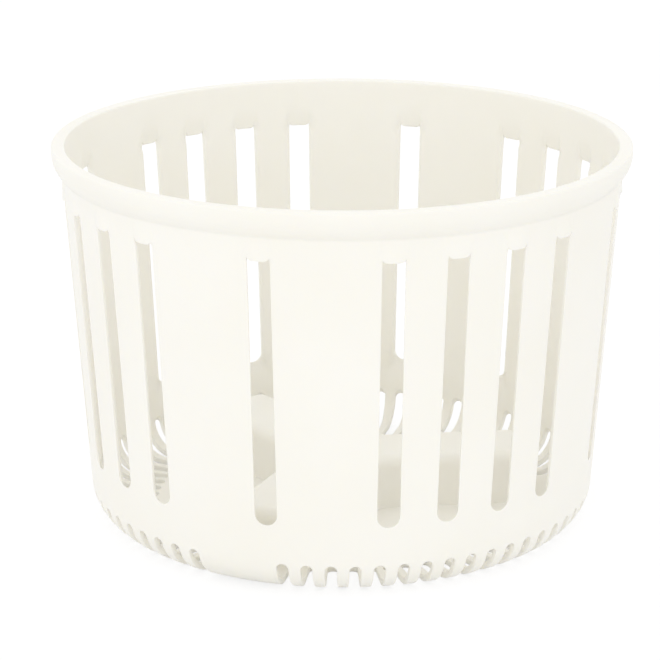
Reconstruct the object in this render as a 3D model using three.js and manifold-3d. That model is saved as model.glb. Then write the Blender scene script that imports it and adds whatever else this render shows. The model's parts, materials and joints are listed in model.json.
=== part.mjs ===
// Strainer basket of a salad spinner: one injection moulding in cream polypropylene.
//
// Millimetres, +Z up. The origin is on the basket's axis at the plane that it stands on.
// Azimuth 0 faces -Y and grows towards +X, so every feature is drawn facing -Y and then
// turned about Z to its place.

import * as THREE from 'three';
import { mergeVertices } from 'three/addons/utils/BufferGeometryUtils.js';
import Module from 'manifold-3d';

const wasm = await Module();
wasm.setup();

// ---- Driving dimensions -------------------------------------------------------------

// Shell
const height = 160.5;
const wallRadius = 115.8; // outside of the wall where it meets the lip
const wallDraft = 3.8; // degrees that the wall leans out, for release from the mould
const wallThickness = 2.2;
const floorThickness = 2.6;
const cornerRadius = 15.5; // outside, between wall and floor

// Rolled lip
const lipOverhang = 4.3; // how far its crown stands out of the wall
const lipDepth = 11.3; // from the top down to the crease in the wall
const lipCrownDrop = 2.6; // from the top down to the widest circle
const lipOuterRound = 0.9;
const lipInnerRound = 0.7;

// Upright wall slots
const slotPlaces = 28;
const slotFirstAzimuth = -15.85;
const solidPlaces = [1, 6, 13, 15, 20, 27]; // places left blank, alike on both halves
const slotWidth = 9.1;
const slotTopDrop = 20.8; // from the rim's top down to the edge of the flap
const slotBottomHeight = 30.1; // from the base up to the round end

// Flap over each slot: the wall above the slot leans out, like a louvre
const flapBulge = 1.1; // how far its middle stands out of the wall, at its lower edge
const flapSideBulge = 0.3;
const flapSideLap = 0.3; // how far it laps onto the wall on each side
const flapCornerRadius = 2.4;
const grooveDepth = 1.6; // into the inside of the wall, at the flap's lower edge
const grooveHeight = 9.3; // from the flap's lower edge up to where the groove runs out

// Slots round the base
const baseSlotPlaces = 67;
const baseSlotFirstAzimuth = -12.31;
const baseSlotWidth = 4.7;
const baseSlotOuterHeight = 13.7; // top of the round end, on the outside
const baseSlotInnerHeight = 15.5; // the same, on the inside
const baseSlotFloorLength = 12.4; // from the edge of the flat floor inwards
const baseSlotArmGap = 1.2; // left between an arm and the end of the slot beside it

// Hub with three arms, raised out of the floor and hollow underneath
const armCount = 3;
const armFirstAzimuth = -23.07;
const armTopHeight = 25;
const armTopHalfWidth = 16;
const armFootHalfWidth = 17.3;
const armFootGap = 9.4; // between the end of an arm and the edge of the flat floor
const armEndRadius = 7; // in plan, at the foot
const armLeastRound = 0.5; // where the draft and the wall leave no room for more
const armRoundShare = 0.9; // of an end's radius in plan, the most that its top edge may take
const armEdgeRound = 5; // along the top edges
const hubFilletRadius = 20; // in plan, between two arms
const armWall = 2.4;
const armBlankHalfAngle = 10; // no base slot is cut nearer than this to an arm's middle

// Socket under the hub that turns on the bowl's pivot
const pivotBossRadius = 8;
const pivotBossBottom = 4;
const pivotBossFlare = 1; // how much wider it is at its root
const pivotSocketRadius = 4;
const pivotSocketDepth = 11;

// Facets
const segmentsRound = slotPlaces * 2; // a vertex on each slot's middle, none near its edges
const segmentsPivot = 16;
const segmentsMask = 24; // of a round block that only hides what is below it
const cornerSteps = 4;
const cornerInnerSteps = 3;
const lipSteps = 4;
const lipOuterSteps = 2;
const lipInnerSteps = 1;
const slotEndSteps = 6;
const flapCrownSteps = 3;
const flapCornerSteps = 2;
const baseSlotTopSteps = 4;
const baseSlotEndSteps = 2;
const armEndSteps = 3;
const armEdgeSteps = 3;
const armHollowEdgeSteps = 2;
const hubFilletSteps = 4;

const cutMargin = 5; // how far a cutter reaches past the surface that it cuts
const overlap = 1; // how far a block reaches into the one that it joins
const waist = 0.01; // a thin straight band, where two drafted halves meet

// ---- Sizes worked out from these ----------------------------------------------------

const radians = THREE.MathUtils.degToRad;
const draftSlope = Math.tan(radians(wallDraft));
const wallAcross = wallThickness / Math.cos(radians(wallDraft)); // measured along a radius
const creaseHeight = height - lipDepth;
const outerRadiusAt = (z) => wallRadius + draftSlope * (z - creaseHeight);
const innerRadiusAt = (z) => outerRadiusAt(z) - wallAcross;
const cornerInnerRadius = cornerRadius - wallThickness;
const rimRadius = wallRadius + lipOverhang; // the widest circle, on the lip's crown

// The corner's arc touches the underside and the leaning wall, and the flat floor ends there.
const floorRadius = outerRadiusAt(cornerRadius) - cornerRadius / Math.cos(radians(wallDraft));
const baseSlotInnerReach = floorRadius - baseSlotFloorLength;
const armFootReach = floorRadius - armFootGap;

// ---- Helpers ------------------------------------------------------------------------

// Points along an arc, its angles in degrees counter-clockwise from +X.
function arc(x, y, radius, from, to, steps) {
  const points = [];
  for (let i = 0; i <= steps; i += 1) {
    const angle = radians(from + ((to - from) * i) / steps);
    points.push(new THREE.Vector2(x + radius * Math.cos(angle), y + radius * Math.sin(angle)));
  }
  return points;
}

// A three.js geometry as a solid that can be joined and cut.
function solid(geometry) {
  const bare = geometry.clone();
  bare.deleteAttribute('normal');
  bare.deleteAttribute('uv');
  const welded = mergeVertices(bare, 1e-4);
  const corners = welded.index.array;
  const triangles = [];
  for (let i = 0; i < corners.length; i += 3) {
    const [a, b, c] = [corners[i], corners[i + 1], corners[i + 2]];
    if (a !== b && b !== c && c !== a) triangles.push(a, b, c);
  }
  return new wasm.Manifold(new wasm.Mesh({
    numProp: 3,
    vertProperties: new Float32Array(welded.attributes.position.array),
    triVerts: new Uint32Array(triangles),
  }));
}

function geometryOf(body) {
  const mesh = body.getMesh();
  const geometry = new THREE.BufferGeometry();
  geometry.setAttribute('position', new THREE.BufferAttribute(mesh.vertProperties, 3));
  geometry.setIndex(new THREE.BufferAttribute(mesh.triVerts, 1));
  geometry.computeVertexNormals();
  return geometry;
}

// A profile of (radius, height) points turned about Z.
function turned(profile, segments = segmentsRound) {
  const start = radians(slotFirstAzimuth);
  return new THREE.LatheGeometry(profile, segments, start, 2 * Math.PI).rotateX(Math.PI / 2);
}

// A front view (across, height) pushed out along the radius, then turned to its azimuth.
function radialPrism(outline, fromRadius, toRadius, azimuth) {
  const prism = new THREE.ExtrudeGeometry(new THREE.Shape(outline), {
    depth: toRadius - fromRadius,
    bevelEnabled: false,
  });
  return prism.translate(0, 0, fromRadius).rotateX(Math.PI / 2).rotateZ(radians(azimuth));
}

// A side view (radius, height) pushed out sideways to both sides, then turned.
function sidewaysPrism(outline, width, azimuth) {
  const prism = new THREE.ExtrudeGeometry(new THREE.Shape(outline), {
    depth: width,
    bevelEnabled: false,
  });
  prism.translate(0, 0, -width / 2).rotateX(Math.PI / 2).rotateZ(-Math.PI / 2);
  return prism.rotateZ(radians(azimuth));
}

// A plan view (across, -radius) pushed up from one height to another, then turned.
function uprightPrism(outline, fromHeight, toHeight, azimuth) {
  const prism = new THREE.ExtrudeGeometry(new THREE.Shape(outline), {
    depth: toHeight - fromHeight,
    bevelEnabled: false,
  });
  return prism.translate(0, 0, fromHeight).rotateZ(radians(azimuth));
}

// ---- Shell: floor, corner, wall and rolled lip --------------------------------------

function makeShell() {
  // The corner's inner arc touches the floor's upper face and the wall's inside.
  const lean = wallDraft;
  const innerCentreHeight = floorThickness + cornerInnerRadius;
  const innerCentre = innerRadiusAt(innerCentreHeight) - cornerInnerRadius / Math.cos(radians(lean));

  // The lip's outside is one arc, upright at the crown and ending in the crease.
  const crownHeight = height - lipCrownDrop;
  const lipFall = crownHeight - creaseHeight;
  const lipArc = (lipFall ** 2 + lipOverhang ** 2) / (2 * lipOverhang);
  const creaseAngle = THREE.MathUtils.radToDeg(Math.asin(lipFall / lipArc));

  const lipInner = innerRadiusAt(height) + lipInnerRound;

  return turned([
    new THREE.Vector2(0, 0),
    ...arc(floorRadius, cornerRadius, cornerRadius, -90, -lean, cornerSteps),
    ...arc(rimRadius - lipArc, crownHeight, lipArc, -creaseAngle, 0, lipSteps),
    ...arc(rimRadius - lipOuterRound, height - lipOuterRound, lipOuterRound, 0, 90, lipOuterSteps),
    ...arc(lipInner, height - lipInnerRound, lipInnerRound, 90, 180 - lean, lipInnerSteps),
    ...arc(innerCentre, innerCentreHeight, cornerInnerRadius, -lean, -90, cornerInnerSteps),
    new THREE.Vector2(0, floorThickness),
  ]);
}

// ---- Upright wall slots and the flaps over them -------------------------------------

const flapEdgeHeight = height - slotTopDrop;
const slotCutTop = flapEdgeHeight + flapCornerRadius;

function slotAzimuths() {
  const places = Array.from({ length: slotPlaces }, (_, place) => place);
  return places
    .filter((place) => !solidPlaces.includes(place))
    .map((place) => slotFirstAzimuth + (place * 360) / slotPlaces);
}

// The opening, as seen from outside: square at the top, a full round at the bottom.
function makeSlotCutter(azimuth) {
  const half = slotWidth / 2;
  const outline = [
    new THREE.Vector2(half, slotCutTop),
    new THREE.Vector2(-half, slotCutTop),
    ...arc(0, slotBottomHeight + half, half, 180, 360, slotEndSteps),
  ];
  const inside = innerRadiusAt(slotBottomHeight) - cutMargin;
  return solid(radialPrism(outline, inside, rimRadius + cutMargin, azimuth));
}

// The flap: rounded in plan, fading into the wall at the lip's crease, with round corners.
function makeFlap(azimuth) {
  const half = slotWidth / 2 + flapSideLap;
  const topHeight = creaseHeight + overlap;
  const edgeRadius = outerRadiusAt(flapEdgeHeight);
  const rise = flapBulge - flapSideBulge;
  const crownArc = (rise ** 2 + half ** 2) / (2 * rise);
  const sideAngle = THREE.MathUtils.radToDeg(Math.asin(half / crownArc));
  const crownCentre = edgeRadius + flapBulge - crownArc;
  const back = innerRadiusAt(flapEdgeHeight);
  const plan = [
    new THREE.Vector2(half, -back),
    new THREE.Vector2(-half, -back),
    ...arc(0, -crownCentre, crownArc, -90 - sideAngle, -90 + sideAngle, flapCrownSteps),
  ];
  // Leans in as it rises, so that it dies out at the crease.
  const fall = (edgeRadius + flapBulge - wallRadius) / (creaseHeight - flapEdgeHeight);
  const lean = new THREE.Matrix4().makeShear(0, 0, 0, 0, 0, fall);
  const block = uprightPrism(plan, 0, topHeight - flapEdgeHeight, 0).applyMatrix4(lean);
  block.translate(0, 0, flapEdgeHeight).rotateZ(radians(azimuth));

  const round = flapCornerRadius;
  const front = [
    new THREE.Vector2(half, topHeight),
    new THREE.Vector2(-half, topHeight),
    ...arc(-half + round, flapEdgeHeight + round, round, 180, 270, flapCornerSteps),
    ...arc(half - round, flapEdgeHeight + round, round, 270, 360, flapCornerSteps),
  ];
  const mask = radialPrism(front, back - cutMargin, rimRadius + cutMargin, azimuth);
  return solid(block).intersect(solid(mask));
}

// The groove behind the flap, deepest at the flap's edge and running out above it.
function makeGrooveCutter(azimuth) {
  const runOut = flapEdgeHeight + grooveHeight;
  const deepRadius = innerRadiusAt(flapEdgeHeight) + grooveDepth;
  const slope = (deepRadius - innerRadiusAt(runOut)) / grooveHeight;
  const low = flapEdgeHeight - cutMargin;
  const inside = innerRadiusAt(low) - cutMargin;
  const side = [
    new THREE.Vector2(inside, low),
    new THREE.Vector2(deepRadius + slope * cutMargin, low),
    new THREE.Vector2(innerRadiusAt(runOut) - slope * cutMargin, runOut + cutMargin),
    new THREE.Vector2(inside, runOut + cutMargin),
  ];
  return solid(sidewaysPrism(side, slotWidth, azimuth));
}

// ---- Slots round the base, from the wall's foot into the floor -----------------------

// Where a slot at this angle from an arm's middle must end, to clear the arm's round end.
function baseSlotReach(angleFromArm) {
  const half = baseSlotWidth / 2;
  const clear = armEndRadius + baseSlotArmGap + half;
  const cornerAlong = armFootReach - armEndRadius;
  const cornerAcross = armFootHalfWidth - armEndRadius;
  const along = cornerAlong * Math.cos(angleFromArm) + cornerAcross * Math.sin(angleFromArm);
  const across = cornerAlong * Math.sin(angleFromArm) - cornerAcross * Math.cos(angleFromArm);
  if (across >= clear) return baseSlotInnerReach;
  return Math.max(baseSlotInnerReach, along + Math.sqrt(clear ** 2 - across ** 2) - half);
}

function baseSlots() {
  const slots = [];
  for (let place = 0; place < baseSlotPlaces; place += 1) {
    const azimuth = baseSlotFirstAzimuth + (place * 360) / baseSlotPlaces;
    const turns = (azimuth - armFirstAzimuth) * (armCount / 360);
    const fromArm = Math.abs(turns - Math.round(turns)) * (360 / armCount);
    if (fromArm > armBlankHalfAngle) {
      slots.push({ azimuth, reach: baseSlotReach(radians(fromArm)) });
    }
  }
  return slots;
}

function makeBaseSlotCutter({ azimuth, reach }) {
  const half = baseSlotWidth / 2;
  const outside = wallRadius + cutMargin;

  // Front view: a round-topped slot whose top climbs towards the inside of the basket.
  const outerTop = outerRadiusAt(baseSlotOuterHeight);
  const innerTop = innerRadiusAt(baseSlotInnerHeight);
  const climb = (baseSlotInnerHeight - baseSlotOuterHeight) / (outerTop - innerTop);
  const front = [
    ...arc(0, baseSlotOuterHeight - half, half, 0, 180, baseSlotTopSteps),
    new THREE.Vector2(-half, -height),
    new THREE.Vector2(half, -height),
  ];
  const arch = new THREE.ExtrudeGeometry(new THREE.Shape(front), {
    depth: outside - reach + cutMargin,
    bevelEnabled: false,
  });
  arch.translate(0, 0, reach - cutMargin - outerTop);
  arch.applyMatrix4(new THREE.Matrix4().makeShear(0, 0, 0, 0, 0, -climb));
  arch.translate(0, 0, outerTop).rotateX(Math.PI / 2).rotateZ(radians(azimuth));

  // Plan view: straight sides and a round inner end.
  const plan = [
    new THREE.Vector2(half, -outside),
    ...arc(0, -(reach + half), half, 0, 180, baseSlotEndSteps),
    new THREE.Vector2(-half, -outside),
  ];
  const bar = uprightPrism(plan, -cutMargin, height, azimuth);
  return solid(arch).intersect(solid(bar));
}

// ---- Hub with three arms --------------------------------------------------------------

const armNarrowing = armFootHalfWidth - armTopHalfWidth;
const armDraft = armNarrowing / (armTopHeight - floorThickness);
const armEndRadiusAt = (grow) => Math.max(armEndRadius - armNarrowing + grow, armLeastRound);

// Plan outline of the three arms' top, moved outwards by grow (inwards where it is negative).
function armsOutline(grow) {
  const half = armTopHalfWidth + grow;
  const endRadius = armEndRadiusAt(grow);
  const reach = armFootReach - armNarrowing + grow;
  const fillet = hubFilletRadius - grow;
  const pitch = 360 / armCount;
  const filletCentre = (half + fillet) / Math.sin(radians(pitch / 2));
  const points = [];
  for (let arm = 0; arm < armCount; arm += 1) {
    const azimuth = armFirstAzimuth + arm * pitch;
    const along = new THREE.Vector2(0, -1).rotateAround(new THREE.Vector2(), radians(azimuth));
    const across = new THREE.Vector2(1, 0).rotateAround(new THREE.Vector2(), radians(azimuth));
    const between = along.clone().rotateAround(new THREE.Vector2(), radians(pitch / 2));
    const corner = (side) => along.clone().multiplyScalar(reach - endRadius)
      .addScaledVector(across, side * (half - endRadius));
    const left = corner(-1);
    const right = corner(1);
    const hub = between.multiplyScalar(filletCentre);
    points.push(...arc(left.x, left.y, endRadius, azimuth - 180, azimuth - 90, armEndSteps));
    points.push(...arc(right.x, right.y, endRadius, azimuth - 90, azimuth, armEndSteps));
    points.push(...arc(hub.x, hub.y, fillet, azimuth + 180, azimuth + pitch, hubFilletSteps));
  }
  return new THREE.Shape(points);
}

// A round block that keeps only what is above a height.
function above(lowHeight) {
  const block = new THREE.CylinderGeometry(rimRadius, rimRadius, height, segmentsMask);
  return solid(block.rotateX(Math.PI / 2).translate(0, 0, lowHeight + height / 2));
}

// The arms from a low plane up: drafted sides under a rounded top, all moved inwards by inset.
function armsBody(lowHeight, inset, edgeSteps) {
  const wantedRound = Math.max(armEdgeRound - inset, armLeastRound);
  const edgeRound = Math.min(wantedRound, armRoundShare * armEndRadiusAt(-inset));
  const shoulder = armTopHeight - inset - edgeRound;
  const outline = armsOutline(armDraft * (armTopHeight - shoulder) - inset);
  const tall = shoulder - lowHeight;
  const sides = new THREE.ExtrudeGeometry(outline, {
    depth: waist,
    bevelThickness: tall,
    bevelSize: armDraft * tall,
    bevelSegments: 1,
  }).translate(0, 0, lowHeight - waist / 2);
  const top = new THREE.ExtrudeGeometry(outline, {
    depth: overlap,
    bevelThickness: edgeRound,
    bevelSize: edgeRound,
    bevelOffset: -edgeRound,
    bevelSegments: edgeSteps,
  }).translate(0, 0, shoulder - overlap);
  const lower = solid(sides).intersect(above(lowHeight));
  return lower.add(solid(top).intersect(above(shoulder - overlap)));
}

// The hollow under the arms, open at the base, with the pivot's socket left in its middle.
function makeHollow() {
  const roof = armTopHeight - armWall;
  const hollow = armsBody(-overlap, armWall, armHollowEdgeSteps);
  const boss = turned([
    new THREE.Vector2(0, pivotBossBottom),
    new THREE.Vector2(pivotBossRadius, pivotBossBottom),
    new THREE.Vector2(pivotBossRadius + pivotBossFlare, roof + overlap),
    new THREE.Vector2(0, roof + overlap),
  ], segmentsPivot);
  const socket = turned([
    new THREE.Vector2(0, pivotBossBottom - overlap),
    new THREE.Vector2(pivotSocketRadius, pivotBossBottom - overlap),
    new THREE.Vector2(pivotSocketRadius, pivotBossBottom + pivotSocketDepth - pivotSocketRadius),
    new THREE.Vector2(0, pivotBossBottom + pivotSocketDepth),
  ], segmentsPivot);
  return hollow.subtract(solid(boss)).add(solid(socket));
}

// ---- The basket -----------------------------------------------------------------------

function makeBasket() {
  const arms = armsBody(floorThickness / 2, 0, armEdgeSteps);
  let body = solid(makeShell()).add(arms).subtract(makeHollow());
  for (const azimuth of slotAzimuths()) {
    body = body.subtract(makeSlotCutter(azimuth));
    body = body.add(makeFlap(azimuth));
    body = body.subtract(makeGrooveCutter(azimuth));
  }
  for (const slot of baseSlots()) {
    body = body.subtract(makeBaseSlotCutter(slot));
  }
  const cream = new THREE.MeshStandardMaterial({ color: 0xf4efdf, roughness: 0.42, metalness: 0 });
  const basket = new THREE.Mesh(geometryOf(body), cream);
  basket.name = 'basket';
  return basket;
}

const saladSpinnerBasket = new THREE.Group();
saladSpinnerBasket.add(makeBasket());

export default saladSpinnerBasket;
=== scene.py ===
"""Looks of the salad spinner's strainer basket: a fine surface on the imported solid's sizes.

The shell is one sheet, drawn flat as a disc: the distance from its middle is the length
along the basket's profile, and the angle is the azimuth. The holes are outlines in that disc.
The sheet is laid on the outside and on the inside of the wall, each with its own outlines,
and a strip joins the two edges of each hole. Azimuth 0 faces -Y and grows towards +X.

The places of the slots round the base, and the way the wall slots widen inwards, follow the
photograph and not the solid, which has 67 such places and straight slots.
"""

import json
import math

import bmesh
import bpy
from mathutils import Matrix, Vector, geometry

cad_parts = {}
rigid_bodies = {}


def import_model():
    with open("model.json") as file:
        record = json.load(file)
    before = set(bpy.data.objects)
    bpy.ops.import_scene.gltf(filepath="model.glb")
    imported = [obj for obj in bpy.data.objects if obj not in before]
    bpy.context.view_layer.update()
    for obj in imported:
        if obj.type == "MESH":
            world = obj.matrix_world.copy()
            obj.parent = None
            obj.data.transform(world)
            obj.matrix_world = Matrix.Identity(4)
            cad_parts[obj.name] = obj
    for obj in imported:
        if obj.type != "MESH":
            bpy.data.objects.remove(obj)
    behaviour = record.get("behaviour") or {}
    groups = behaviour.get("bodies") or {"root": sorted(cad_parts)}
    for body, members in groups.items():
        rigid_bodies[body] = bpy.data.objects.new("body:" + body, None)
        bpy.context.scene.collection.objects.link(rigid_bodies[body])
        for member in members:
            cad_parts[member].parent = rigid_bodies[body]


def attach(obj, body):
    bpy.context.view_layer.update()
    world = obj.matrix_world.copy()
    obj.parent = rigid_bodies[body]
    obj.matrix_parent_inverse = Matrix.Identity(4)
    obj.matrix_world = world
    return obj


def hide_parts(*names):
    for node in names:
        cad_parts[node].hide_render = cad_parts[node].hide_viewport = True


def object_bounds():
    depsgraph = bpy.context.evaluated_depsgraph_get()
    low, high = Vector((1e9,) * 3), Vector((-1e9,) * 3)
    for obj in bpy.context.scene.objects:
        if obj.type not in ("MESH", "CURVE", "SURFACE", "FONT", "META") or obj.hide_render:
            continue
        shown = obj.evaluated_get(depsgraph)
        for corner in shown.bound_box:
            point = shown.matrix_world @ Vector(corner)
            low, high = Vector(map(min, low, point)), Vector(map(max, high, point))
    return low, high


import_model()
cad_low, cad_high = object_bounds()

MM = 0.001

# ---- Sizes, in millimetres, and angles in degrees --------------------------------------
# Those under "only here" are this surface's own. The others are the solid's.

# Shell
HEIGHT = cad_high.z / MM
RIM_RADIUS = min(cad_high.x, cad_high.y, -cad_low.x, -cad_low.y) / MM
WALL_RADIUS = 115.8
WALL_DRAFT = math.radians(3.8)  # kept in radians
WALL_THICKNESS = 2.2
FLOOR_THICKNESS = 2.6
CORNER_RADIUS = 15.5
LIP_DEPTH = 11.3
LIP_CROWN_DROP = 2.6
LIP_OUTER_ROUND = 0.9
LIP_INNER_ROUND = 0.7

# Upright wall slots and the flaps over them
SLOT_PLACES = 28
SLOT_FIRST = -15.85
SOLID_PLACES = (1, 6, 13, 15, 20, 27)
SLOT_WIDTH = 9.1
SLOT_TOP_DROP = 20.8
SLOT_BOTTOM = 30.1
FLAP_BULGE = 1.1
FLAP_SIDE_BULGE = 0.3
FLAP_SIDE_LAP = 0.3
FLAP_CORNER = 2.4
GROOVE_DEPTH = 1.6
GROOVE_HEIGHT = 9.3

# The same, only here
SLOT_EDGE = 0.15  # rounding of the edge outside
SLOT_LAND = 0.35  # depth at which the widening starts
SLOT_FLARE = 1.8  # how much wider on each side, on the inside
SLOT_FLARE_FADE = 6.0  # height over which the widening fades out below the flap
SLOT_PINCH = 0.3  # how much narrower on each side, on the inside at the flap
FLAP_RISE = 0.8  # how far the flap's underside climbs inwards
GROOVE_SIDE = 1.8  # width of the groove's soft sides
GROOVE_POWER = 1.5  # how fast the groove runs out upwards

# Slots round the base
BASE_WIDTH = 4.7
BASE_OUTER_TOP = 13.7
BASE_INNER_TOP = 15.5
BASE_FLOOR_LENGTH = 12.4
BASE_ARM_GAP = 1.2
ARM_BLANK = 10.0  # no slot is nearer than this angle to an arm's middle

# The same, only here
BASE_PLACES = 69  # the first at the first arm's middle, so each group is centred

# Hub with three arms
ARM_COUNT = 3
ARM_FIRST = -23.07
ARM_TOP = 25.0
ARM_TOP_HALF = 16.0
ARM_FOOT_HALF = 17.3
ARM_FOOT_GAP = 9.4
ARM_END = 7.0
ARM_ROUND = 5.0
HUB_FILLET = 20.0
ARM_WALL = 2.4
BOSS_RADIUS = 8.0
BOSS_BOTTOM = 4.0
BOSS_FLARE = 1.0
SOCKET_RADIUS = 4.0
SOCKET_DEPTH = 11.0

# The same, only here
ARM_FOOT_FILLET = 0.3
SOCKET_TIP = 0.3  # radius of the flat end of the socket's cone

# Rounding of the moulding's edges, only here
EDGE = 0.4
ROUND_MIDDLE = 0.29  # share of the radius between each edge and a quarter round's middle
SUPPORT = 0.3  # width of the flat band beside a rounding, which keeps its shading tight

# Fineness: distances, and counts of steps
MERGED = 0.002  # vertices nearer than this are one
CLEARANCE = 0.6  # between a hole's loop and the scattered points
RING_STEP = 10.0
FLAP_RING_STEP = 1.2
FLAP_RINGS = 7
FLOOR_RING = 0.5  # one ring of the flat floor, this far inside the corner
CORNER_RINGS = 14
COLUMNS_PER_PLACE = 8  # between the flaps of two wall slots
COLUMNS_PER_BASE_PLACE = 4
FLAP_COLUMNS = (0, 1, 2, 3, 4)  # across the flap, from its middle
FLARE_STEPS = 6
FOOT_STEPS = 4
CLIMB_STEPS = 5
SHOULDER_STEPS = 8
HOLLOW_STEPS = 5
ARM_END_STEPS = 8
HUB_FILLET_STEPS = 10
BOSS_STEPS = 48
LIP_BOW_STEPS = 10
LIP_ROUND_STEPS = 4
HALVINGS = 50

# ---- Profile: the outside and inside of the shell, both by one length ------------------

CREASE = HEIGHT - LIP_DEPTH
SLOPE = math.tan(WALL_DRAFT)
WALL_ACROSS = WALL_THICKNESS / math.cos(WALL_DRAFT)
CORNER_INNER = CORNER_RADIUS - WALL_THICKNESS
CORNER_TURN = math.pi / 2 - WALL_DRAFT


def outer_radius(z):
    return WALL_RADIUS + SLOPE * (z - CREASE)


def inner_radius(z):
    return outer_radius(z) - WALL_ACROSS


CORNER_START = outer_radius(CORNER_RADIUS) - CORNER_RADIUS / math.cos(WALL_DRAFT)
INNER_CENTRE_Z = FLOOR_THICKNESS + CORNER_INNER
INNER_START = inner_radius(INNER_CENTRE_Z) - CORNER_INNER / math.cos(WALL_DRAFT)
BASE_REACH = CORNER_START - BASE_FLOOR_LENGTH
ARM_REACH = CORNER_START - ARM_FOOT_GAP
ARM_DRAFT = (ARM_FOOT_HALF - ARM_TOP_HALF) / (ARM_TOP - FLOOR_THICKNESS)
CORNER_LENGTH = CORNER_RADIUS * CORNER_TURN
CORNER_END = CORNER_START + CORNER_LENGTH


def outside_at(length):
    """(radius, height) on the outside of the shell, at this length along its profile."""
    if length <= CORNER_START:
        return length, 0.0
    if length <= CORNER_END:
        turn = (length - CORNER_START) / CORNER_RADIUS
        radius = CORNER_START + CORNER_RADIUS * math.sin(turn)
        return radius, CORNER_RADIUS * (1 - math.cos(turn))
    radius, z = outside_at(CORNER_END)
    up = length - CORNER_END
    return radius + up * math.sin(WALL_DRAFT), z + up * math.cos(WALL_DRAFT)


def inside_at(length):
    """(radius, height) on the inside, across the wall from the outside's point."""
    if length <= CORNER_START:
        return length * INNER_START / CORNER_START, FLOOR_THICKNESS
    if length <= CORNER_END:
        turn = (length - CORNER_START) / CORNER_RADIUS
        radius = INNER_START + CORNER_INNER * math.sin(turn)
        return radius, INNER_CENTRE_Z - CORNER_INNER * math.cos(turn)
    radius, z = inside_at(CORNER_END)
    up = length - CORNER_END
    return radius + up * math.sin(WALL_DRAFT), z + up * math.cos(WALL_DRAFT)


def length_at_height(z, side):
    """The length along the profile where the wall or corner of that side is at this height."""
    low, high = CORNER_START, CORNER_END + HEIGHT
    for _ in range(HALVINGS):
        middle = (low + high) / 2
        if side(middle)[1] < z:
            low = middle
        else:
            high = middle
    return low


# ---- The mesh, built from vertices with merged places ----------------------------------


class Surface:
    """Vertices in millimetres and faces, joined where vertices meet."""

    def __init__(self):
        self.points = []
        self.faces = []

    def add(self, point):
        self.points.append(point)
        return len(self.points) - 1

    def ring(self, points):
        return [self.add(point) for point in points]

    def join(self, rings):
        """Faces between each closed ring and the next, which has as many vertices."""
        for first, second in zip(rings, rings[1:]):
            for i in range(len(first)):
                k = (i + 1) % len(first)
                self.faces.append((first[i], first[k], second[k], second[i]))

    def fill(self, *loops):
        """Flat faces inside the first loop and outside the others."""
        outlines = [[Vector(self.points[i][:2]).to_3d() for i in loop] for loop in loops]
        flat = [i for loop in loops for i in loop]
        for triangle in geometry.tessellate_polygon(outlines):
            self.faces.append(tuple(flat[i] for i in triangle))

    def to_object(self, name):
        mesh = bpy.data.meshes.new(name)
        mesh.from_pydata([tuple(c * MM for c in p) for p in self.points], [], self.faces)
        shape = bmesh.new()
        shape.from_mesh(mesh)
        bmesh.ops.remove_doubles(shape, verts=shape.verts, dist=MM * MERGED)
        bmesh.ops.recalc_face_normals(shape, faces=shape.faces)
        shape.to_mesh(mesh)
        shape.free()
        mesh.polygons.foreach_set("use_smooth", [True] * len(mesh.polygons))
        thing = bpy.data.objects.new(name, mesh)
        bpy.context.scene.collection.objects.link(thing)
        return thing


def at_azimuth(radius, azimuth, z):
    return (radius * math.sin(azimuth), -radius * math.cos(azimuth), z)


def arc(x, y, radius, start, end, steps):
    """Points along an arc, its angles in degrees counter-clockwise from +X."""
    turns = [math.radians(start + (end - start) * i / steps) for i in range(steps + 1)]
    return [(x + radius * math.cos(t), y + radius * math.sin(t)) for t in turns]


def turning(steps):
    """Angles of a quarter turn."""
    return [math.pi / 2 * i / steps for i in range(steps + 1)]


def line(start, end, steps):
    """Points from start up to, and without, end."""
    return [
        tuple(a + (b - a) * i / steps for a, b in zip(start, end))
        for i in range(steps)
    ]


# ---- Flaps -----------------------------------------------------------------------------

FLAP_EDGE = HEIGHT - SLOT_TOP_DROP
FLAP_HALF = SLOT_WIDTH / 2 + FLAP_SIDE_LAP


def flap_bulge(across, z):
    """How far the flap stands out of the wall, here."""
    fade = min(max((CREASE - z) / (CREASE - FLAP_EDGE), 0.0), 1.0)
    below = min(max(1 - (FLAP_EDGE - z) / EDGE, 0.0), 1.0)
    side = min(max((FLAP_HALF + EDGE - abs(across)) / EDGE, 0.0), 1.0)
    crown = max(1 - (across / FLAP_HALF) ** 2, 0.0)
    return fade * below * side * (FLAP_SIDE_BULGE + (FLAP_BULGE - FLAP_SIDE_BULGE) * crown)


def groove_depth(across, z):
    """How deep the groove behind the flap cuts into the inside of the wall, with soft sides."""
    up = min(max((z - FLAP_EDGE) / GROOVE_HEIGHT, 0.0), 1.0)
    end = SLOT_WIDTH / 2 + SLOT_FLARE
    side = min(max((end - abs(across)) / GROOVE_SIDE, 0.0), 1.0)
    return GROOVE_DEPTH * (1 - up) ** GROOVE_POWER * side * side * (3 - 2 * side)


# ---- Holes: outlines as lists of (across, height) --------------------------------------


def outward(outline):
    """For each point of a closed outline, the unit direction away from the hole."""
    count = len(outline)
    area = sum(
        outline[i - 1][0] * outline[i][1] - outline[i][0] * outline[i - 1][1]
        for i in range(count)
    )
    turn = 1 if area > 0 else -1
    directions = []
    for i in range(count):
        before, after = outline[i - 1], outline[(i + 1) % count]
        along = Vector((after[0] - before[0], after[1] - before[1])).normalized()
        directions.append((along.y * turn, -along.x * turn))
    return directions


def moved(outline, directions, distance):
    return [
        (p[0] + d[0] * distance, p[1] + d[1] * distance)
        for p, d in zip(outline, directions)
    ]


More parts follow.
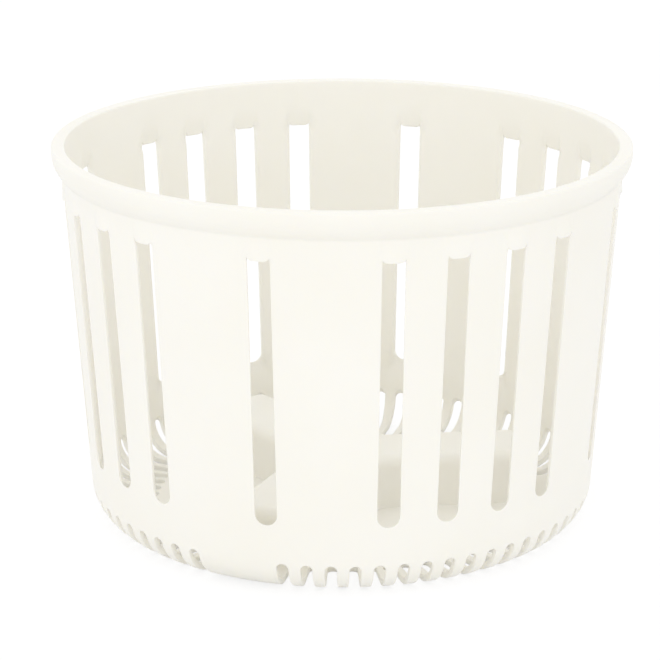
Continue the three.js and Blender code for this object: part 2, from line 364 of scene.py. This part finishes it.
def wall_slot_outlines():
    """The slot's edge on the outside, and its wider edge on the inside."""
    half = SLOT_WIDTH / 2
    low = SLOT_BOTTOM + half
    corner_x = half + FLAP_SIDE_LAP - FLAP_CORNER
    corner_z = FLAP_EDGE + FLAP_CORNER
    reach = math.degrees(math.acos((half - corner_x) / FLAP_CORNER))
    peak = corner_z - FLAP_CORNER * math.sin(math.radians(reach))
    bend = peak - SLOT_FLARE_FADE
    side_steps, bend_steps, top_steps, arc_steps, round_steps = 24, 8, 8, 6, 16

    outside = arc(0, low, half, 180, 360, round_steps)[:-1]
    outside += line((half, low), (half, bend), side_steps)
    outside += line((half, bend), (half, peak), bend_steps)
    outside += arc(corner_x, corner_z, FLAP_CORNER, -reach, -90, arc_steps)[:-1]
    outside += line((corner_x, FLAP_EDGE), (-corner_x, FLAP_EDGE), top_steps)
    outside += arc(-corner_x, corner_z, FLAP_CORNER, -90, -180 + reach, arc_steps)[:-1]
    outside += line((-half, peak), (-half, bend), bend_steps)
    outside += line((-half, bend), (-half, low), side_steps)

    def widen(x, z):
        """The same point on the inside: wider, but pinched at the flap, which climbs inwards."""
        if z < low:
            grow = 1 + SLOT_FLARE / half
            return x * grow, low + (z - low) * grow
        beside = min(max((abs(x) - corner_x) / (half - corner_x), 0.0), 1.0)
        up = min(max((z - bend) / (peak - bend), 0.0), 1.0) if beside == 1.0 else 1.0
        fade = up * up * (3 - 2 * up)
        out = SLOT_FLARE * (1 - fade) - SLOT_PINCH * fade * beside
        return math.copysign(abs(x) + out, x), z + FLAP_RISE * fade

    return outside, [widen(x, z) for x, z in outside]


def base_slot_outline(reach, top_height, side):
    """A slot round the base as (across, length along the profile)."""
    half = BASE_WIDTH / 2
    start = reach + half
    end = length_at_height(top_height, side) - half
    round_steps, floor_steps, side_steps = 12, 4, 10
    outline = arc(0, start, half, 180, 360, round_steps)[:-1]
    outline += line((half, start), (half, CORNER_START), floor_steps)
    outline += line((half, CORNER_START), (half, end), side_steps)
    outline += arc(0, end, half, 0, 180, round_steps)[:-1]
    outline += line((-half, end), (-half, CORNER_START), side_steps)
    outline += line((-half, CORNER_START), (-half, start), floor_steps)
    return outline


def wall_slot_azimuths():
    places = [p for p in range(SLOT_PLACES) if p not in SOLID_PLACES]
    return [math.radians(SLOT_FIRST + 360 * p / SLOT_PLACES) for p in places]


def base_slot_reach(from_arm):
    """Where a slot at this angle from an arm's middle must end, to clear the arm's end."""
    half = BASE_WIDTH / 2
    clear = ARM_END + BASE_ARM_GAP + half
    far, wide = ARM_REACH - ARM_END, ARM_FOOT_HALF - ARM_END
    along = far * math.cos(from_arm) + wide * math.sin(from_arm)
    across = far * math.sin(from_arm) - wide * math.cos(from_arm)
    if across >= clear:
        return BASE_REACH
    return max(BASE_REACH, along + math.sqrt(clear**2 - across**2) - half)


def base_slots():
    """(azimuth, reach) of each slot round the base."""
    slots = []
    pitch = 360 / ARM_COUNT
    for place in range(BASE_PLACES):
        azimuth = ARM_FIRST + 360 * place / BASE_PLACES
        turns = (azimuth - ARM_FIRST) / pitch
        from_arm = abs(turns - round(turns)) * pitch
        if from_arm > ARM_BLANK:
            slots.append((math.radians(azimuth), base_slot_reach(math.radians(from_arm))))
    return slots


# ---- The shell -------------------------------------------------------------------------


def place_on(side, across, length, azimuth, out=0.0):
    """A point of the shell's side, across a hole's middle, moved out along the radius."""
    radius, z = side(length)
    return at_azimuth(radius + out, azimuth + math.asin(across / radius), z)


def through(across, length, azimuth, depth):
    """A point inside the wall: depth 0 is the outside and 1 the inside."""
    outer, inner = outside_at(length), inside_at(length)
    radius = outer[0] + (inner[0] - outer[0]) * depth
    z = outer[1] + (inner[1] - outer[1]) * depth
    return at_azimuth(radius, azimuth + math.asin(across / radius), z)


def in_disc(length, azimuth):
    """Where this length along the profile, at this azimuth, lies in the flat disc."""
    return Vector((length * math.cos(azimuth), length * math.sin(azimuth)))


class Sheet:
    """One side of the shell: hole loops and scattered points, joined by triangles."""

    def __init__(self, surface):
        self.surface = surface
        self.flat = []
        self.ids = []
        self.holes = []

    def point(self, length, azimuth, place):
        self.flat.append(in_disc(length, azimuth))
        self.ids.append(self.surface.add(place))

    def hole(self, flat_points, vertex_ids):
        start = len(self.flat)
        self.flat.extend(flat_points)
        self.ids.extend(vertex_ids)
        loop = list(range(start, len(self.flat)))
        area = sum(
            self.flat[a].x * self.flat[b].y - self.flat[b].x * self.flat[a].y
            for a, b in zip(loop, loop[1:] + loop[:1])
        )
        self.holes.append(loop if area > 0 else loop[::-1])

    def triangulate(self):
        whole_hull, nearest = 0, 1e-6
        made = geometry.delaunay_2d_cdt(self.flat, [], self.holes, whole_hull, nearest)
        triangles, origins, of_hole = made[2], made[3], made[5]
        assert all(origins), "two hole outlines cross"
        for triangle, inside in zip(triangles, of_hole):
            if not inside:
                self.surface.faces.append(tuple(self.ids[origins[c][0]] for c in triangle))


def flat_place(across, length, azimuth, side):
    """The same for a point across a hole's middle."""
    return in_disc(length, azimuth + math.asin(across / side(length)[0]))


def height_to_length(z, side):
    """On the wall only, where height and length go together."""
    return CORNER_END + (z - side(CORNER_END)[1]) / math.cos(WALL_DRAFT)


def cut_wall_slot(outer, inner, azimuth, outlines):
    """The strip through the wall round one upright slot, and its loops in both sheets.

    The edge is crisp outside. Inwards the slot widens in a quarter turn, until its sides
    run into the inside of the wall, and at the top into the groove behind the flap.
    """
    surface = outer.surface
    outside, inside = outlines
    out_dirs, in_dirs = outward(outside), outward(inside)

    def on_side(points, side, relief):
        ring = []
        for x, z in points:
            length = height_to_length(z, side)
            ring.append(place_on(side, x, length, azimuth, relief(x, z)))
        return surface.ring(ring)

    def within(points, depths):
        ring = []
        for (x, z), edge, depth in zip(points, outside, depths):
            radius = outer_radius(z) + flap_bulge(edge[0], z) - depth
            ring.append(at_azimuth(radius, azimuth + math.asin(x / radius), z))
        return surface.ring(ring)

    ends = [
        WALL_ACROSS + flap_bulge(edge[0], z) - groove_depth(x, z)
        for edge, (x, z) in zip(outside, inside)
    ]
    edge_middle = SLOT_EDGE * ROUND_MIDDLE
    support = moved(outside, out_dirs, SLOT_EDGE + SUPPORT)
    inner_support = moved(inside, in_dirs, SUPPORT)
    rings = [
        on_side(support, outside_at, flap_bulge),
        on_side(moved(outside, out_dirs, SLOT_EDGE), outside_at, flap_bulge),
        within(moved(outside, out_dirs, edge_middle), [edge_middle] * len(ends)),
        within(outside, [SLOT_EDGE] * len(ends)),
    ]
    for turn in turning(FLARE_STEPS):
        share = 1 - math.cos(turn)
        widened = [
            (a[0] + (b[0] - a[0]) * share, a[1] + (b[1] - a[1]) * share)
            for a, b in zip(outside, inside)
        ]
        rings.append(within(widened, [
            SLOT_LAND + (end - SLOT_LAND) * math.sin(turn) for end in ends
        ]))
    rings.append(on_side(inner_support, inside_at, groove_depth))
    surface.join(rings)

    for sheet, points, side, ids in (
        (outer, support, outside_at, rings[0]),
        (inner, inner_support, inside_at, rings[-1]),
    ):
        sheet.hole([flat_place(x, height_to_length(z, side), azimuth, side)
                    for x, z in points], ids)


def cut_base_slot(outer, inner, azimuth, reach):
    """The strip through the shell round one slot of the base."""
    surface = outer.surface
    outside = base_slot_outline(reach, BASE_OUTER_TOP, outside_at)
    inside = base_slot_outline(reach, BASE_INNER_TOP, inside_at)
    out_dirs, in_dirs = outward(outside), outward(inside)
    share = EDGE / WALL_THICKNESS
    edge_middle = EDGE * ROUND_MIDDLE
    support = moved(outside, out_dirs, EDGE + SUPPORT)
    inner_support = moved(inside, in_dirs, EDGE + SUPPORT)
    halfway = [((a[0] + b[0]) / 2, (a[1] + b[1]) / 2) for a, b in zip(outside, inside)]

    def ring(points, depth):
        return surface.ring([through(x, s, azimuth, depth) for x, s in points])

    rings = [
        ring(support, 0),
        ring(moved(outside, out_dirs, EDGE), 0),
        ring(moved(outside, out_dirs, edge_middle), share * ROUND_MIDDLE),
        ring(outside, share),
        ring(halfway, 0.5),
        ring(inside, 1 - share),
        ring(moved(inside, in_dirs, edge_middle), 1 - share * ROUND_MIDDLE),
        ring(moved(inside, in_dirs, EDGE), 1),
        ring(inner_support, 1),
    ]
    surface.join(rings)
    for sheet, points, side, ids in (
        (outer, support, outside_at, rings[0]),
        (inner, inner_support, inside_at, rings[-1]),
    ):
        sheet.hole([flat_place(x, s, azimuth, side) for x, s in points], ids)


def turn_from(azimuth, middle):
    """The turn from a slot's middle to this azimuth, at most half a turn either way."""
    return math.remainder(azimuth - middle, 2 * math.pi)


def is_beside(azimuth, middle, radius, reach):
    """Whether this azimuth is within reach of a slot's middle, measured across the slot."""
    turn = turn_from(azimuth, middle)
    return abs(turn) < math.pi / 2 and abs(radius * math.sin(turn)) < reach


def free_of_slots(length, azimuth, slots_low, slots_high, side):
    """Whether a scattered point keeps clear of every hole's loop."""
    radius, z = side(length)
    margin = EDGE + SUPPORT + CLEARANCE
    if side is outside_at:
        widening, top = 0.0, FLAP_EDGE + FLAP_CORNER
    else:
        widening, top = SLOT_FLARE, FLAP_EDGE + FLAP_RISE + FLAP_CORNER
    for middle in slots_high:
        near = is_beside(azimuth, middle, radius, SLOT_WIDTH / 2 + widening + margin)
        if near and SLOT_BOTTOM - widening - margin < z < top + margin:
            return False
    for middle, reach in slots_low:
        near = is_beside(azimuth, middle, radius, BASE_WIDTH / 2 + margin)
        if near and length > reach - margin and z < BASE_INNER_TOP + margin:
            return False
    return True


def relief_here(azimuth, length, slots_high, side):
    """How far a flap or its groove moves the wall's side outwards, here."""
    radius, z = side(length)
    if z < FLAP_EDGE - EDGE:
        return 0.0
    relief = flap_bulge if side is outside_at else groove_depth
    for middle in slots_high:
        turn = turn_from(azimuth, middle)
        if abs(turn) < math.pi / SLOT_PLACES:
            return relief(radius * math.sin(turn), z)
    return 0.0


# ---- Hub and lip -----------------------------------------------------------------------


def arms_outline(grow):
    """Plan outline of the arms, moved outwards by grow."""
    lean = ARM_FOOT_HALF - ARM_TOP_HALF
    half, end, reach = ARM_TOP_HALF + grow, ARM_END - lean + grow, ARM_REACH - lean + grow
    fillet = HUB_FILLET - grow
    pitch = 360 / ARM_COUNT
    centre = (half + fillet) / math.sin(math.radians(pitch / 2))
    points = []
    for arm in range(ARM_COUNT):
        azimuth = ARM_FIRST + arm * pitch
        turn = math.radians(azimuth)
        along = Vector((math.sin(turn), -math.cos(turn)))
        across = Vector((math.cos(turn), math.sin(turn)))
        left = along * (reach - end) - across * (half - end)
        right = along * (reach - end) + across * (half - end)
        hub_turn = math.radians(azimuth + pitch / 2)
        hub = Vector((math.sin(hub_turn), -math.cos(hub_turn))) * centre
        points += arc(left.x, left.y, end, azimuth - 180, azimuth - 90, ARM_END_STEPS)
        points += arc(right.x, right.y, end, azimuth - 90, azimuth, ARM_END_STEPS)
        points += arc(hub.x, hub.y, fillet, azimuth + 180, azimuth + pitch, HUB_FILLET_STEPS)
    return points


def make_arms(surface):
    """The hub's upper side and its hollow. Gives back the loops that meet the floor."""

    def skin(profile):
        rings = [surface.ring([(x, y, z) for x, y in arms_outline(grow)]) for grow, z in profile]
        surface.join(rings)
        return rings

    def climb(start, end):
        """Between two places of the profile, without either."""
        return line(start, end, CLIMB_STEPS)[1:]

    def rounded(start, radius, steps):
        """A shoulder that turns inwards from upright to level."""
        return [
            (start[0] - radius * (1 - math.cos(t)), start[1] + radius * math.sin(t))
            for t in turning(steps)
        ]

    # Each profile is (moved outwards, height). The upper side goes from the floor to the top.
    shoulder = (ARM_DRAFT * ARM_ROUND, ARM_TOP - ARM_ROUND)
    foot = ARM_DRAFT * (ARM_TOP - FLOOR_THICKNESS)
    foot_support, top_support = SUPPORT / 3, SUPPORT * 2
    upper = [(foot + ARM_FOOT_FILLET + foot_support, FLOOR_THICKNESS)]
    for t in turning(FOOT_STEPS):
        out, up = ARM_FOOT_FILLET * (1 - math.sin(t)), ARM_FOOT_FILLET * (1 - math.cos(t))
        upper.append((foot + out, FLOOR_THICKNESS + up))
    upper += climb(upper[-1], shoulder)
    upper += rounded(shoulder, ARM_ROUND, SHOULDER_STEPS)
    upper.append((shoulder[0] - ARM_ROUND - top_support, ARM_TOP))
    top_rings = skin(upper)
    surface.fill(top_rings[-1])

    # The hollow goes from the underside up to its roof, parallel to the upper side.
    roof = ARM_TOP - ARM_WALL
    inner_round = ARM_ROUND - ARM_WALL
    inner_shoulder = (shoulder[0] - ARM_WALL, shoulder[1])
    base = ARM_DRAFT * ARM_TOP - ARM_WALL
    edge_middle = EDGE * ROUND_MIDDLE
    lower = [
        (base + EDGE + SUPPORT, 0),
        (base + EDGE, 0),
        (base + edge_middle, edge_middle),
        (base, EDGE),
    ]
    lower += climb(lower[-1], inner_shoulder)
    lower += rounded(inner_shoulder, inner_round, HOLLOW_STEPS)
    lower.append((inner_shoulder[0] - inner_round - SUPPORT, roof))
    under_rings = skin(lower)
    surface.fill(under_rings[-1], make_boss(surface, roof))
    return top_rings[0], under_rings[0]


def make_boss(surface, roof):
    """The pivot's socket under the hub. Gives back the ring where it meets the roof."""
    socket_top = BOSS_BOTTOM + SOCKET_DEPTH
    profile = [
        (BOSS_RADIUS + BOSS_FLARE + EDGE, roof), (BOSS_RADIUS + BOSS_FLARE, roof - EDGE),
        (BOSS_RADIUS, BOSS_BOTTOM + EDGE), (BOSS_RADIUS - EDGE, BOSS_BOTTOM),
        (SOCKET_RADIUS + EDGE, BOSS_BOTTOM), (SOCKET_RADIUS, BOSS_BOTTOM + EDGE),
        (SOCKET_RADIUS, socket_top - SOCKET_RADIUS), (SOCKET_TIP, socket_top),
    ]
    turns = [2 * math.pi * i / BOSS_STEPS for i in range(BOSS_STEPS)]
    rings = [surface.ring([at_azimuth(r, t, z) for t in turns]) for r, z in profile]
    surface.join(rings)
    surface.fill(rings[-1])
    return rings[0]


def lip_profile():
    """(radius, height) from the crease, over the rolled lip and down to the inside."""
    crown = HEIGHT - LIP_CROWN_DROP
    fall, overhang = crown - CREASE, RIM_RADIUS - WALL_RADIUS
    bow = (fall**2 + overhang**2) / (2 * overhang)
    start = math.degrees(math.asin(fall / bow))
    outer, inner = LIP_OUTER_ROUND, LIP_INNER_ROUND
    inner_x = inner_radius(HEIGHT) + inner
    upright = 180 - math.degrees(WALL_DRAFT)
    profile = arc(RIM_RADIUS - bow, crown, bow, -start, 0, LIP_BOW_STEPS)
    profile += arc(RIM_RADIUS - outer, HEIGHT - outer, outer, 0, 90, LIP_ROUND_STEPS)
    profile += arc(inner_x, HEIGHT - inner, inner, 90, upright, LIP_ROUND_STEPS)
    return profile


# ---- The whole basket ------------------------------------------------------------------


def make_shell(surface):
    """Floor, corner and wall as two sheets with their holes, the hub, and the lip over them."""
    outer, inner = Sheet(surface), Sheet(surface)
    slots_high, slots_low = wall_slot_azimuths(), base_slots()
    outlines = wall_slot_outlines()
    for azimuth in slots_high:
        cut_wall_slot(outer, inner, azimuth, outlines)
    for azimuth, reach in slots_low:
        cut_base_slot(outer, inner, azimuth, reach)

    top_loop, under_loop = make_arms(surface)
    for sheet, loop, side in ((inner, top_loop, inside_at), (outer, under_loop, outside_at)):
        flat = []
        for i in loop:
            x, y, _ = surface.points[i]
            length = math.hypot(x, y) * CORNER_START / side(CORNER_START)[0]
            flat.append(in_disc(length, math.atan2(x, -y)))
        sheet.hole(flat, loop)

    # Columns beside the slots and within the flaps, and rings up the wall.
    pitch = 2 * math.pi / SLOT_PLACES
    flap_end, flare = FLAP_HALF + EDGE, SLOT_WIDTH / 2 + SLOT_FLARE
    across = [*FLAP_COLUMNS, FLAP_HALF, flap_end, (flap_end + flare) / 2, flare, flare + EDGE]
    near = [sign * x / WALL_RADIUS for x in across for sign in (1, -1) if x or sign > 0]
    half = max(near)
    wide = [half + (pitch - 2 * half) * (i + 0.5) / COLUMNS_PER_PLACE
            for i in range(COLUMNS_PER_PLACE)]
    columns = sorted(
        math.radians(SLOT_FIRST) + place * pitch + turn
        for place in range(SLOT_PLACES)
        for turn in near + wide
    )
    low_count = BASE_PLACES * COLUMNS_PER_BASE_PLACE
    low_columns = [2 * math.pi * i / low_count for i in range(low_count)]
    inner_top = HEIGHT - 2 * LIP_INNER_ROUND
    for sheet, side, top in ((outer, outside_at, CREASE), (inner, inside_at, inner_top)):
        top_length = height_to_length(top, side)
        rings = [CORNER_START - FLOOR_RING]
        rings += [CORNER_START + CORNER_LENGTH * i / CORNER_RINGS for i in range(CORNER_RINGS + 1)]
        rise = top_length - CORNER_END
        steps = round(rise / RING_STEP)
        wall = [CORNER_END + rise * i / steps for i in range(1, steps)]
        flap_heights = [FLAP_EDGE + FLAP_RING_STEP * i for i in range(1, FLAP_RINGS + 1)]
        extra = [height_to_length(z, side) for z in flap_heights]
        for length in rings:
            for azimuth in low_columns:
                if free_of_slots(length, azimuth, slots_low, slots_high, side):
                    sheet.point(length, azimuth, place_on(side, 0, length, azimuth))
        for length in sorted(wall + extra):
            for azimuth in columns:
                if free_of_slots(length, azimuth, slots_low, slots_high, side):
                    out = relief_here(azimuth, length, slots_high, side)
                    sheet.point(length, azimuth, place_on(side, 0, length, azimuth, out))
        for azimuth in columns:
            sheet.point(top_length, azimuth, place_on(side, 0, top_length, azimuth))
        sheet.triangulate()

    profile = lip_profile()
    crease_point = outside_at(height_to_length(CREASE, outside_at))
    end_point = inside_at(height_to_length(inner_top, inside_at))
    surface.join([
        surface.ring([at_azimuth(r, t, z) for t in columns])
        for r, z in [crease_point, *profile[1:], end_point]
    ])


def make_basket():
    surface = Surface()
    make_shell(surface)
    basket = surface.to_object("basket_surface")
    basket.data.materials.append(cream_polypropylene())
    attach(basket, "root")
    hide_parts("basket")


# ---- Material --------------------------------------------------------------------------


def cream_polypropylene():
    """Satin moulded polypropylene: a little translucent, with faint flow marks."""
    material = bpy.data.materials.new("cream_polypropylene")
    material.use_nodes = True
    nodes, links = material.node_tree.nodes, material.node_tree.links
    shader = nodes["Principled BSDF"]
    place = nodes.new("ShaderNodeNewGeometry")

    # Slow changes of tone, as in plastic that cooled unevenly. Noise scales are per metre.
    cloud = nodes.new("ShaderNodeTexNoise")
    cloud.inputs["Scale"].default_value = 18
    cloud.inputs["Detail"].default_value = 3
    links.new(place.outputs["Position"], cloud.inputs["Vector"])
    tone = nodes.new("ShaderNodeValToRGB")
    tone.color_ramp.elements[0].position = 0.3
    tone.color_ramp.elements[0].color = (0.955, 0.933, 0.862, 1)
    tone.color_ramp.elements[1].position = 0.7
    tone.color_ramp.elements[1].color = (0.97, 0.952, 0.893, 1)
    links.new(cloud.outputs["Fac"], tone.inputs["Fac"])
    links.new(tone.outputs["Color"], shader.inputs["Base Color"])

    # Satin finish, a little glossier in patches.
    patch = nodes.new("ShaderNodeTexNoise")
    patch.inputs["Scale"].default_value = 60
    patch.inputs["Detail"].default_value = 4
    links.new(place.outputs["Position"], patch.inputs["Vector"])
    gloss = nodes.new("ShaderNodeMapRange")
    gloss.inputs["To Min"].default_value = 0.34
    gloss.inputs["To Max"].default_value = 0.46
    links.new(patch.outputs["Fac"], gloss.inputs["Value"])
    links.new(gloss.outputs["Result"], shader.inputs["Roughness"])

    # The fine grain of a spark-eroded mould.
    grain = nodes.new("ShaderNodeTexNoise")
    grain.inputs["Scale"].default_value = 2600
    grain.inputs["Detail"].default_value = 2
    links.new(place.outputs["Position"], grain.inputs["Vector"])
    bump = nodes.new("ShaderNodeBump")
    bump.inputs["Strength"].default_value = 0.06
    bump.inputs["Distance"].default_value = 0.00006
    links.new(grain.outputs["Fac"], bump.inputs["Height"])
    links.new(bump.outputs["Normal"], shader.inputs["Normal"])

    shader.inputs["Specular IOR Level"].default_value = 0.3
    shader.inputs["IOR"].default_value = 1.49
    shader.inputs["Subsurface Weight"].default_value = 0.1
    shader.inputs["Subsurface Radius"].default_value = (1.0, 0.9, 0.6)
    shader.inputs["Subsurface Scale"].default_value = 0.003
    return material


# ---- Studio: lengths in metres, powers in watts, angles in degrees ---------------------

CAMERA_PLACE = (0, -1.0422, 0.4083)
CAMERA_PITCH = 17.616  # below the horizon
CAMERA_YAW = 0.27
CAMERA_LENS = 140.75  # in millimetres, as the sensor
CAMERA_SENSOR = 36
FLOOR_HALF = 3.0
KEY_PLACE = (-0.3, -1.4, 0.7)
KEY_SIZE = 1.6
KEY_POWER = 1.5


def seen_directly(nodes, links):
    """1 where a camera, a reflection or glass sees the surface, and 0 where it only lights."""
    path = nodes.new("ShaderNodeLightPath")
    value = path.outputs["Is Camera Ray"]
    for name in ("Is Glossy Ray", "Is Transmission Ray"):
        either = nodes.new("ShaderNodeMath")
        either.operation = "MAXIMUM"
        links.new(value, either.inputs[0])
        links.new(path.outputs[name], either.inputs[1])
        value = either.outputs[0]
    return value


def studio_white():
    """A white sheet that still takes the object's shadow, faintly."""
    material = bpy.data.materials.new("studio_white")
    material.use_nodes = True
    nodes, links = material.node_tree.nodes, material.node_tree.links
    paper = nodes["Principled BSDF"]
    paper.inputs["Base Color"].default_value = (0.92, 0.92, 0.92, 1)
    paper.inputs["Roughness"].default_value = 0.9
    paper.inputs["Specular IOR Level"].default_value = 0.1
    shade = nodes.new("ShaderNodeBsdfDiffuse")
    shade.inputs["Color"].default_value = (0.25, 0.25, 0.25, 1)
    glow = nodes.new("ShaderNodeEmission")
    glow.inputs["Strength"].default_value = 0.78
    bright = nodes.new("ShaderNodeAddShader")
    links.new(shade.outputs[0], bright.inputs[0])
    links.new(glow.outputs[0], bright.inputs[1])
    both = nodes.new("ShaderNodeMixShader")
    links.new(seen_directly(nodes, links), both.inputs["Fac"])
    links.new(paper.outputs[0], both.inputs[1])
    links.new(bright.outputs[0], both.inputs[2])
    links.new(both.outputs[0], nodes["Material Output"].inputs["Surface"])
    return material


def make_floor():
    half = FLOOR_HALF
    mesh = bpy.data.meshes.new("floor")
    corners = [(-half, -half, 0), (half, -half, 0), (half, half, 0), (-half, half, 0)]
    mesh.from_pydata(corners, [], [(0, 1, 2, 3)])
    floor = bpy.data.objects.new("floor", mesh)
    mesh.materials.append(studio_white())
    bpy.context.scene.collection.objects.link(floor)


def make_world():
    world = bpy.data.worlds.new("studio")
    bpy.context.scene.world = world
    world.use_nodes = True
    nodes, links = world.node_tree.nodes, world.node_tree.links
    light = nodes["Background"]
    light.inputs["Color"].default_value = (1, 1, 1, 1)
    light.inputs["Strength"].default_value = 1.0
    backdrop = nodes.new("ShaderNodeBackground")
    backdrop.inputs["Color"].default_value = (1, 1, 1, 1)
    backdrop.inputs["Strength"].default_value = 1.0
    both = nodes.new("ShaderNodeMixShader")
    links.new(seen_directly(nodes, links), both.inputs["Fac"])
    links.new(light.outputs[0], both.inputs[1])
    links.new(backdrop.outputs[0], both.inputs[2])
    links.new(both.outputs[0], nodes["World Output"].inputs["Surface"])


def add_area_light(name, place, size, power):
    """A square lamp that faces the middle of the floor."""
    data = bpy.data.lights.new(name, "AREA")
    data.shape = "SQUARE"
    data.size = size
    data.energy = power
    lamp = bpy.data.objects.new(name, data)
    lamp.location = place
    lamp.rotation_euler = (-Vector(place)).to_track_quat("-Z", "Y").to_euler()
    bpy.context.scene.collection.objects.link(lamp)


def make_camera():
    data = bpy.data.cameras.new("camera")
    data.lens = CAMERA_LENS
    data.sensor_width = CAMERA_SENSOR
    camera = bpy.data.objects.new("camera", data)
    camera.location = CAMERA_PLACE
    camera.rotation_euler = (math.radians(90 - CAMERA_PITCH), 0, math.radians(CAMERA_YAW))
    bpy.context.scene.collection.objects.link(camera)
    bpy.context.scene.camera = camera


make_camera()
make_basket()
make_floor()
make_world()
add_area_light("key", KEY_PLACE, KEY_SIZE, KEY_POWER)
bpy.context.scene.view_settings.view_transform = "Standard"
